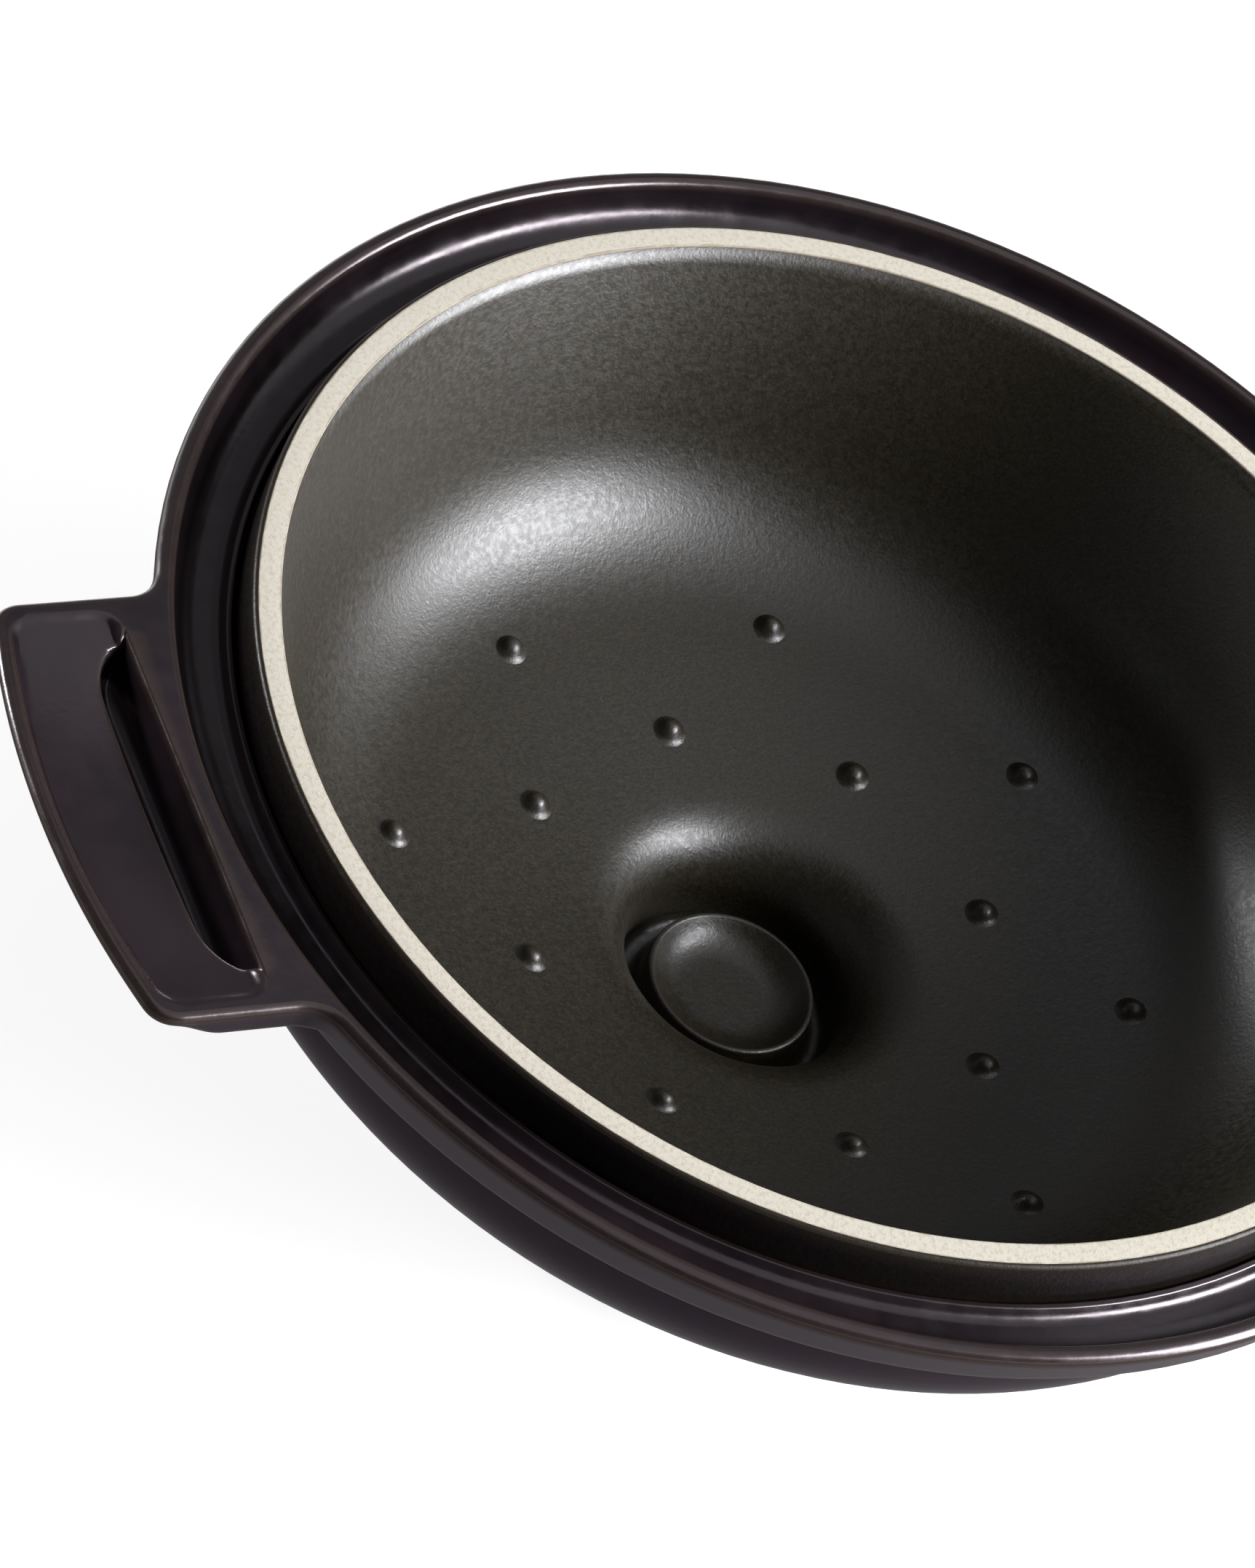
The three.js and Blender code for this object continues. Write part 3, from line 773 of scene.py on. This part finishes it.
class PotSkin:
    """Points and faces of the whole pot as one closed skin, in sections round its outline."""

    def __init__(self, pot, lug):
        self.pot, self.lug = pot, lug
        self.root_radius = pot.rim_radius - pot.rim_width + pot.lip_inner_round
        self.plan = LugPlan(pot, lug, self.root_radius)
        self.place_columns()
        self.blocks = []
        self.build()

    def place_columns(self):
        """The lug at +X, the rim to the far lug, that lug, and the rim back."""
        spots, normals = self.plan.spots, self.plan.normals
        start = math.atan2(spots[-1, 1], spots[-1, 0])
        steps = math.ceil((math.pi - 2 * start) / RIM_STEP)
        turn = np.linspace(start, math.pi - start, steps + 1)[1:-1]
        arc = np.stack([np.cos(turn), np.sin(turn)], axis=1)
        rim = self.pot.rim_radius * arc
        self.spots = np.concatenate([spots, rim, -spots, -rim])
        self.normals = np.concatenate([normals, arc, -normals, -arc])
        self.lug_first = (0, len(spots) + len(rim))
        reach = np.linalg.norm(self.spots, axis=1)
        self.ring = self.spots / reach[:, None]
        self.blend = smooth_step(0, self.lug.blend, reach - self.pot.rim_radius)

    def mixed(self, rim, lug):
        """A value that is the rim's on the rim and the lug's on the lugs."""
        return rim + (lug - rim) * self.blend

    def over_lugs(self, plan, measure, elsewhere):
        """What measure gives for points on the lugs, and a fixed value elsewhere."""
        values = np.full(plan.shape[:-1], elsewhere)
        count = len(self.plan.spots)
        for first, side in zip(self.lug_first, (1, -1)):
            columns = slice(first, first + count)
            values[..., columns] = measure(side * plan[..., columns, :])
        return values

    def collar(self, height):
        """Radius of the collar's face at a height."""
        pot = self.pot
        fall = pot.collar_height - pot.lip_round
        below = pot.rim_height - pot.lip_round - height
        return pot.rim_radius - pot.collar_draft * below / fall

    def add(self, plan, heights):
        """Adds rows of points."""
        heights = np.broadcast_to(heights, plan.shape[:2])
        self.blocks.append(np.concatenate([plan, heights[..., None]], axis=-1))

    def build(self):
        """All sections from the middle of the inside to the middle of the foot."""
        pot, lug = self.pot, self.lug
        self.blocks.append(turned(rounded(self.inside_corners())[:-1], self.ring))
        top_round = self.mixed(pot.lip_round, lug.edge_round)
        plan = self.top_plan(top_round)
        self.add(plan, pot.rim_height - self.over_lugs(plan, self.plan.drop, 0.0))
        thick = self.over_lugs(self.spots, self.plan.thickness, lug.thickness)
        self.add_edge(top_round, pot.rim_height - self.mixed(lug.thickness, thick))
        under = pot.rim_height - self.over_lugs(plan, self.plan.thickness, lug.thickness)
        sink = self.add_underside(plan, under)
        self.add_outside(sink)
        self.grid = np.concatenate(self.blocks)

    def inside_corners(self):
        """Profile of the inside, from the middle of the floor to the top of the rim."""
        pot = self.pot
        bead = pot.rim_height - pot.bead_below
        bead_edge = pot.seat_radius + pot.bead_width
        gutter = pot.rim_height - pot.gutter_below
        lip = pot.rim_radius - pot.rim_width
        return [
            (0, pot.floor),
            (pot.floor_radius, pot.floor, pot.floor_round),
            (pot.mouth_radius, pot.turn_height, pot.turn_round - pot.flank_wall),
            (pot.mouth_radius, pot.seat_height, pot.mouth_round),
            (pot.seat_radius, pot.seat_height, pot.seat_round),
            (pot.seat_radius, bead, pot.bead_round),
            (bead_edge, bead, pot.bead_round),
            (bead_edge + pot.bead_slope, gutter, pot.gutter_round),
            (lip - pot.gutter_lean, gutter, pot.cove_round),
            (lip, pot.rim_height, pot.lip_inner_round),
            (self.root_radius, pot.rim_height),
        ]

    def outside_corners(self):
        """Profile of the outside, from under the lugs down to the middle of the foot."""
        pot = self.pot
        slope = flank_slope(pot)
        foot = foot_radius(pot)
        inner, outer = foot_band(pot)
        start = self.outside_start()
        collar_bottom = pot.rim_height - pot.collar_height
        return [
            (self.collar(start), start),
            (self.collar(collar_bottom), collar_bottom, pot.collar_round),
            (pot.wall_radius, collar_bottom, pot.collar_fillet),
            (pot.wall_radius, (pot.wall_radius - foot) / math.tan(slope), pot.turn_round),
            (foot, 0, pot.foot_round),
            (outer, 0),
            (outer, pot.bare_inset),
            (inner, pot.bare_inset),
            (inner, pot.foot_recess, pot.foot_recess / 2),
            (0, pot.foot_recess),
        ]

    def outside_start(self):
        """Height where the outside's profile leaves the rounding under the lugs."""
        return self.pot.rim_height - self.lug.thickness - self.lug.root_fillet

    def top_plan(self, top_round):
        """Plan of the rows over the rim's top and the lugs, from the rim's inner lip outwards."""
        root = self.root_radius * self.ring
        edge = self.spots - self.normals * top_round[:, None]
        count = len(self.plan.spots)
        share = self.plan.row_shares(root[:count], edge[:count])
        rim = (len(self.spots) - 2 * count) // 2
        rim_share = np.repeat(np.linspace(0, 1, len(share))[:, None], rim, axis=1)
        share = np.concatenate([share, rim_share, share, rim_share], axis=1)
        return root + share[..., None] * (edge - root)

    def add_edge(self, top_round, bottom):
        """The rounded outer edge of the rim and lugs: top rounding, side and bottom rounding."""
        pot, lug = self.pot, self.lug
        bend = np.linspace(0, math.pi / 2, ROUND_STEPS + 1)[1:]
        low = self.mixed(lug.root_fillet / 4, lug.edge_round)
        inset = top_round * (1 - np.sin(bend))[:, None]
        height = pot.rim_height - top_round * (1 - np.cos(bend))[:, None]
        self.add(self.spots - self.normals * inset[..., None], height)
        # Rows from halfway down the rim's outer rounding on count as outside, where the glaze gets
        # its painted reflection.
        self.top_rows = sum(map(len, self.blocks)) - ROUND_STEPS // 2
        side = np.linspace(0, 1, SIDE_STEPS + 1)[1:, None]
        height = (pot.rim_height - top_round) * (1 - side) + (bottom + low) * side
        self.add_side(height, lug.edge_draft * side)
        height = bottom + low * (1 - np.sin(bend))[:, None]
        draw = (1 - np.cos(bend))[:, None]
        self.add_side(height, lug.edge_draft + (lug.edge_round - lug.edge_draft) * draw)

    def add_side(self, height, lug_inset):
        """Rows of the side at heights, on the collar's face or set in from the lug's outline."""
        inset = self.mixed(self.pot.rim_radius - self.collar(height), lug_inset)
        self.add(self.spots - self.normals * inset[..., None], height)

    def add_underside(self, plan, under):
        """The lugs' underside back to the collar, with a round root; gives how low roots lie."""
        lug = self.lug
        bottom = self.pot.rim_height - lug.thickness
        step = lug.root_fillet / 2
        fall = np.linspace(step, 0, len(plan))[:, None]
        rim_height = bottom - fall
        blend = self.blend[:, None]
        rim_plan = self.collar(rim_height)[..., None] * self.ring
        plan = rim_plan + (plan - rim_plan) * blend
        height = rim_height + (under - rim_height) * self.blend
        self.add(plan[-2::-1], height[-2::-1])
        sink = self.mixed(0, bottom - under[0])
        foot = bottom - sink - lug.root_fillet
        control = self.mixed(bottom - 1.5 * step, under[0])
        bend = self.collar(control)[:, None] * self.ring
        end = self.collar(foot)[:, None] * self.ring
        for share in np.linspace(0, 1, ROOT_STEPS + 1)[1:]:
            back, turn, ahead = (1 - share) ** 2, 2 * share * (1 - share), share**2
            spot = back * plan[0] + turn * bend + ahead * end
            rise = back * height[0] + turn * control + ahead * foot
            self.add(spot[None], rise[None])
        return sink

    def add_outside(self, sink):
        """The outside down to the foot, drawn down under the lugs where their roots lie lower."""
        pot, lug = self.pot, self.lug
        profile = rounded(self.outside_corners())[1:]
        grid = turned(profile, self.ring)
        start = self.outside_start()
        height = grid[..., 2].copy()
        collar_foot = self.collar(pot.rim_height - pot.collar_height)
        on_collar = smooth_step(pot.wall_radius, collar_foot, profile[:, :1])
        pull = (self.collar(height) - self.collar(height - sink)) * on_collar
        grid[..., :2] -= pull[..., None] * self.ring
        grid[..., 2] -= sink * smooth_step(start - lug.root_reach, start, height)
        self.blocks.append(grid)

    def mesh(self):
        """Points, faces and a mark for the outside, from the rim's and lugs' sides downwards."""
        rows, columns = self.grid.shape[:2]
        index = np.arange(rows * columns).reshape(rows, columns)
        outside = np.repeat(np.arange(rows) >= self.top_rows, columns).astype(np.float32)
        points, faces = self.grid.reshape(-1, 3), grid_faces(index).reshape(-1, 4)
        return points, faces, {"outside": outside}


class CASSEROLE_OT_pot(bpy.types.Operator):
    """Build the glazed pot with its rim, bowl, foot and both lug handles"""

    bl_idname = "casserole.pot"
    bl_label = "Pot"

    def execute(self, context):
        scene = context.scene
        skin = PotSkin(scene.casserole_pot, scene.casserole_lug)
        made = piece("Pot_Glazed_Body", *skin.mesh())
        made.data.materials.append(pot_glaze(scene.casserole_finishes))
        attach(made, "pot")
        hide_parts("pot")
        return {"FINISHED"}


class Recipe:
    """A node material that is put together step by step."""

    def __init__(self, name):
        self.material = bpy.data.materials.new(name)
        self.material.use_nodes = True
        self.tree = self.material.node_tree
        self.shader = self.tree.nodes["Principled BSDF"]
        self.place = self.node("ShaderNodeTexCoord").outputs["Object"]

    def node(self, kind, inputs=None, **settings):
        """Adds a node. An input is a value or another node's output."""
        made = self.tree.nodes.new(kind)
        for key, value in settings.items():
            setattr(made, key, value)
        for key, value in (inputs or {}).items():
            self.feed(made.inputs[key], value)
        return made

    def feed(self, socket, value):
        """Links an output to a socket, or sets a value on it."""
        if isinstance(value, bpy.types.NodeSocket):
            self.tree.links.new(value, socket)
        else:
            socket.default_value = value

    def noise(self, scale, detail=2.0, roughness=0.5):
        """Cloudy noise, its scale in features to the metre."""
        made = self.node(
            "ShaderNodeTexNoise",
            {"Vector": self.place, "Scale": scale, "Detail": detail, "Roughness": roughness},
        )
        return made.outputs["Fac"]

    def spread(self, value, low, high, to_low=0.0, to_high=1.0):
        """Stretches a value from one range to another, held at both ends."""
        ends = {"From Min": low, "From Max": high, "To Min": to_low, "To Max": to_high}
        made = self.node(
            "ShaderNodeMapRange", {"Value": value, **ends}, interpolation_type="SMOOTHSTEP"
        )
        return made.outputs["Result"]

    def maths(self, operation, first, second):
        """One sum of two values."""
        made = self.node("ShaderNodeMath", {0: first, 1: second}, operation=operation)
        return made.outputs["Value"]

    def mix(self, share, first, second):
        """A colour between two colours."""
        made = self.node("ShaderNodeMix", data_type="RGBA")
        self.feed(made.inputs["Factor"], share)
        for socket, value in zip((made.inputs[6], made.inputs[7]), (first, second)):
            self.feed(socket, value if isinstance(value, bpy.types.NodeSocket) else (*value, 1))
        return made.outputs[2]

    def bump(self, height, strength, distance, onto=None):
        """Small relief for the shader's normal."""
        inputs = {"Height": height, "Strength": strength, "Distance": distance}
        if onto is not None:
            inputs["Normal"] = onto
        return self.node("ShaderNodeBump", inputs).outputs["Normal"]

    def mark(self, name):
        """What a piece's points are marked with."""
        return self.node("ShaderNodeAttribute", attribute_name=name).outputs["Fac"]


def pot_glaze(finishes):
    """Glossy purple-black glaze, milky in patches, brown on its edges; on the outside it is
    rougher, and a lighter purple ground with a cut gloss paints the reflection of a dim floor.
    """
    recipe = Recipe("Pot Glaze")
    patches = recipe.spread(recipe.noise(scale=28, detail=4), 0.35, 0.68)
    ground = recipe.mix(patches, finishes.pot_dark, finishes.pot_light)
    fine = recipe.noise(scale=1500)
    broken = recipe.spread(fine, 0.25, 0.6, 0.55, 1)
    edge = recipe.maths("MULTIPLY", recipe.mark("thin_glaze"), broken)
    outside = recipe.mark("outside")
    # On the pot's outside the ground turns a lighter purple: painted reflection of a dim floor.
    ground = recipe.mix(outside, ground, finishes.belly)
    recipe.feed(recipe.shader.inputs["Base Color"], recipe.mix(edge, ground, finishes.pot_thin))
    cloud = recipe.noise(scale=180, detail=3)
    rough = recipe.spread(cloud, 0.3, 0.7, finishes.pot_rough * 0.85, finishes.pot_rough * 1.2)
    belly = recipe.maths("MULTIPLY", outside, finishes.belly_rough)
    recipe.feed(recipe.shader.inputs["Roughness"], recipe.maths("MAXIMUM", rough, belly))
    # Outside, the gloss is cut to a small share: painted dimming of the floor's reflection.
    gloss = recipe.spread(outside, 0, 1, 0.5, finishes.belly_gloss / 2)
    recipe.feed(recipe.shader.inputs["Specular IOR Level"], gloss)
    recipe.shader.inputs["Specular Tint"].default_value = (*finishes.pot_tint, 1)
    recipe.shader.inputs["IOR"].default_value = finishes.index
    ripple = recipe.bump(recipe.noise(scale=420, detail=1), strength=0.05, distance=0.0004)
    grain = recipe.bump(fine, strength=0.06, distance=0.0002, onto=ripple)
    recipe.feed(recipe.shader.inputs["Normal"], grain)
    return recipe.material


def lid_glaze(finishes):
    """Satin brown-black glaze with a fine speckle, shared by the lid and its nubs; on the lid's
    outside a darker ground and a cut gloss paint shade over the skirt.
    """
    name = "Lid Glaze"
    if name in bpy.data.materials:
        return bpy.data.materials[name]
    recipe = Recipe(name)
    speckle = recipe.noise(scale=1700, roughness=0.65)
    patches = recipe.spread(recipe.noise(scale=34, detail=3), 0.3, 0.7, 0.75, 1)
    share = recipe.maths("MULTIPLY", recipe.spread(speckle, 0.38, 0.68), patches)
    ground = recipe.mix(share, finishes.lid_dark, finishes.lid_light)
    outside = recipe.mark("outside")
    # On the lid's outside the ground turns darker: painted shade over the skirt.
    ground = recipe.mix(outside, ground, finishes.lid_outside_painted_shade)
    edge = recipe.maths("MULTIPLY", recipe.mark("thin_glaze"), 0.5)
    recipe.feed(recipe.shader.inputs["Base Color"], recipe.mix(edge, ground, finishes.lid_thin))
    cloud = recipe.noise(scale=700)
    rough = recipe.spread(cloud, 0.3, 0.7, finishes.lid_rough * 0.88, finishes.lid_rough * 1.12)
    recipe.feed(recipe.shader.inputs["Roughness"], rough)
    # There the gloss is cut as well, which deepens the painted shade.
    gloss = recipe.spread(outside, 0, 1, 0.5, finishes.lid_outside_painted_shade_gloss / 2)
    recipe.feed(recipe.shader.inputs["Specular IOR Level"], gloss)
    recipe.shader.inputs["IOR"].default_value = finishes.index
    recipe.shader.inputs["Specular Tint"].default_value = (*finishes.lid_tint, 1)
    ripple = recipe.bump(recipe.noise(scale=900), strength=0.14, distance=0.0004)
    grain = recipe.bump(speckle, strength=0.25, distance=0.0002, onto=ripple)
    recipe.feed(recipe.shader.inputs["Normal"], grain)
    return recipe.material


def bare_clay(piece_name, finishes, span):
    """Unglazed cream clay, ground flat, with darker grain, turning darker in narrow strips beside
    the glaze.
    """
    dark_inside, dark_outside, dark_share, dark_wander = 0.0005, 0.0004, 0.8, 0.00012
    recipe = Recipe(piece_name.replace("_", " ") + " Clay")
    grain = recipe.spread(recipe.noise(scale=900, detail=4, roughness=0.7), 0.42, 0.75)
    ground = recipe.mix(grain, finishes.clay, finishes.clay_dark)
    inner, outer = span
    flat = recipe.node(
        "ShaderNodeVectorMath", {0: recipe.place, 1: (1, 1, 0)}, operation="MULTIPLY"
    ).outputs["Vector"]
    radius = recipe.node("ShaderNodeVectorMath", {0: flat}, operation="LENGTH").outputs["Value"]
    wander = recipe.spread(recipe.noise(scale=260), 0.3, 0.7, -dark_wander, dark_wander)
    radius = recipe.maths("ADD", radius, wander)
    from_inner = recipe.spread(radius, inner, inner + dark_inside, 1, 0)
    from_outer = recipe.spread(radius, outer - dark_outside, outer, 0, 1)
    # Darker in narrow strips at both edges of the band, beside the glaze.
    edge_dark = recipe.maths("MAXIMUM", from_inner, from_outer)
    edge_dark = recipe.maths("MULTIPLY", edge_dark, dark_share)
    recipe.feed(recipe.shader.inputs["Base Color"], recipe.mix(edge_dark, ground, finishes.clay_stain))
    recipe.feed(recipe.shader.inputs["Roughness"], recipe.spread(grain, 0, 1, 0.82, 0.95))
    relief = recipe.bump(grain, strength=0.25, distance=0.0002)
    recipe.feed(recipe.shader.inputs["Normal"], relief)
    return recipe.material


def direction(azimuth, elevation):
    """Unit vector towards an azimuth and elevation."""
    flat = math.cos(elevation)
    return Vector((flat * math.cos(azimuth), flat * math.sin(azimuth), math.sin(elevation)))


class CASSEROLE_OT_stage(bpy.types.Operator):
    """Build the floor, the lights and the camera"""

    bl_idname = "casserole.stage"
    bl_label = "Stage"

    def execute(self, context):
        stage = context.scene.casserole_stage
        aim = Vector((0, 0, LidLines(context.scene.casserole_lid).edge))
        self.floor(context, stage)
        self.camera(context, stage, aim)
        for name in ("key", "side", "top", "fill"):
            self.softbox(context, stage, aim, name)
        world = bpy.data.worlds.new("Studio")
        world.use_nodes = True
        world.node_tree.nodes["Background"].inputs["Color"].default_value = (*stage.surround, 1)
        context.scene.world = world
        context.scene.view_settings.view_transform = "Standard"
        return {"FINISHED"}

    @staticmethod
    def floor(context, stage):
        """A wide pale floor under the foot."""
        half = stage.floor_size / 2
        corners = [(-half, -half, 0), (half, -half, 0), (half, half, 0), (-half, half, 0)]
        mesh = bpy.data.meshes.new("Floor")
        mesh.from_pydata(corners, [], [(0, 1, 2, 3)])
        recipe = Recipe("Floor")
        recipe.shader.inputs["Base Color"].default_value = (*stage.floor_colour, 1)
        recipe.shader.inputs["Roughness"].default_value = 0.9
        recipe.shader.inputs["Specular IOR Level"].default_value = 0.0
        recipe.shader.inputs["Emission Color"].default_value = (1, 1, 1, 1)
        recipe.shader.inputs["Emission Strength"].default_value = stage.floor_glow
        mesh.materials.append(recipe.material)
        floor = bpy.data.objects.new("Floor", mesh)
        context.scene.collection.objects.link(floor)

    @staticmethod
    def camera(context, stage, aim):
        """A long lens, turned so that the lid's edge falls where the photograph has it."""
        away = direction(stage.camera_azimuth, stage.camera_elevation)
        forward = -away
        right = forward.cross(Vector((0, 0, 1))).normalized()
        up = right.cross(forward)
        roll = stage.camera_roll
        rolled = right * math.cos(roll) + up * math.sin(roll)
        upright = up * math.cos(roll) - right * math.sin(roll)
        data = bpy.data.cameras.new("Camera")
        data.lens = stage.camera_lens
        data.sensor_width = SENSOR_WIDTH
        data.clip_start, data.clip_end = 0.05, 100
        focal = stage.camera_lens / SENSOR_WIDTH * PHOTO_HEIGHT
        across = stage.target_x - PHOTO_WIDTH / 2
        rise = PHOTO_HEIGHT / 2 - stage.target_y
        back = -(forward * focal - rolled * across - upright * rise).normalized()
        side = upright.cross(back).normalized()
        turn = Matrix((side, back.cross(side), back)).transposed().to_4x4()
        camera = bpy.data.objects.new("Camera", data)
        camera.matrix_world = Matrix.Translation(aim + away * stage.camera_distance) @ turn
        context.scene.collection.objects.link(camera)
        context.scene.camera = camera

    @staticmethod
    def softbox(context, stage, aim, name):
        """An oblong area light that faces the dish."""
        heading, rise, power, width, height = (
            getattr(stage, f"{name}_{part}")
            for part in ("azimuth", "elevation", "power", "width", "height")
        )
        data = bpy.data.lights.new(name.title(), "AREA")
        data.shape = "RECTANGLE"
        data.size, data.size_y = width, height
        data.energy = power
        towards = direction(heading, rise)
        light = bpy.data.objects.new(name.title(), data)
        light.location = aim + towards * stage.light_distance
        light.rotation_euler = towards.to_track_quat("Z", "Y").to_euler()
        context.scene.collection.objects.link(light)


GROUPS = {
    "casserole_pot": PotSizes,
    "casserole_lug": LugSizes,
    "casserole_lid": LidSizes,
    "casserole_nubs": NubSizes,
    "casserole_finishes": Finishes,
    "casserole_stage": StageSetup,
}
OPERATORS = (
    CASSEROLE_OT_pot,
    CASSEROLE_OT_lid,
    CASSEROLE_OT_nubs,
    CASSEROLE_OT_bare_clay,
    CASSEROLE_OT_stage,
)


class CASSEROLE_PT_sidebar(bpy.types.Panel):
    """Sizes, finishes and build steps of the casserole"""

    bl_idname = "CASSEROLE_PT_sidebar"
    bl_label = "Ceramic Casserole"
    bl_space_type = "VIEW_3D"
    bl_region_type = "UI"
    bl_category = "Casserole"

    def draw(self, context):
        for operator in OPERATORS:
            self.layout.operator(operator.bl_idname)
        for group in GROUPS:
            settings = getattr(context.scene, group)
            box = self.layout.box()
            box.label(text=type(settings).__name__)
            for name in type(settings).__annotations__:
                box.prop(settings, name)


def register():
    """Registers the settings, operators and panel."""
    for name, group in GROUPS.items():
        bpy.utils.register_class(group)
        setattr(bpy.types.Scene, name, PointerProperty(type=group))
    for cls in (*OPERATORS, CASSEROLE_PT_sidebar):
        bpy.utils.register_class(cls)


def unregister():
    """Takes them away again."""
    for cls in reversed((*OPERATORS, CASSEROLE_PT_sidebar)):
        bpy.utils.unregister_class(cls)
    for name, group in reversed(GROUPS.items()):
        delattr(bpy.types.Scene, name)
        bpy.utils.unregister_class(group)


def main():
    """Builds the dish and its stage."""
    register()
    bpy.ops.casserole.pot()
    bpy.ops.casserole.lid()
    bpy.ops.casserole.nubs()
    bpy.ops.casserole.bare_clay()
    bpy.ops.casserole.stage()


if __name__ == "__main__":
    main()
